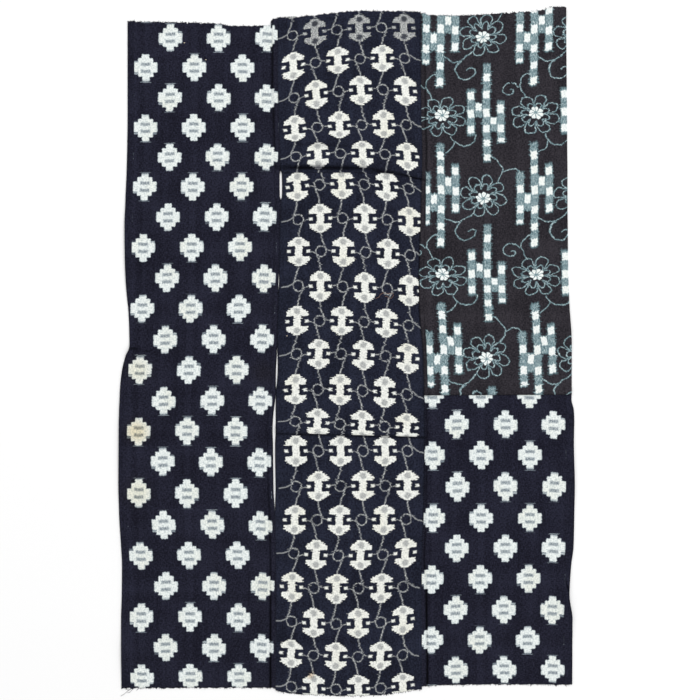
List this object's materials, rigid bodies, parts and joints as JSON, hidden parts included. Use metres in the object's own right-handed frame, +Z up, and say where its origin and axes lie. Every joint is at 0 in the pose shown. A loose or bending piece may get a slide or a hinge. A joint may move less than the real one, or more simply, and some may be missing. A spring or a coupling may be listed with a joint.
{
  "type": "kasuri futon cloth",
  "caption": "Futon cover of narrow indigo kasuri cotton widths, pieced with cross seams, opened out and laid flat with its right side up.",
  "frame": {"origin": "middle of the outline's box, on the surface that the cover lies on", "axes": "+X across the widths to the right, +Y along the widths to the top edge, +Z up from the cloth's right side"},
  "size_m": [0.971, 1.467, 0.0079],
  "materials": {
    "lozenge_cloth": "matt plain-woven cotton, purplish indigo ground with bluish white stepped lozenges",
    "spool_cloth": "matt plain-woven cotton, navy indigo ground with cream spool shapes, rings and wavy threads",
    "flower_cloth": "matt plain-woven cotton, brown-black ground with blue-grey outlined flowers and white and grey hash signs"
  },
  "bodies": {
    "root": {"left_length": "lozenge_cloth", "middle_upper_length": "spool_cloth", "middle_centre_length": "spool_cloth", "middle_lower_length": "spool_cloth", "right_upper_length": "flower_cloth", "right_lower_length": "lozenge_cloth"}
  },
  "joints": []
}
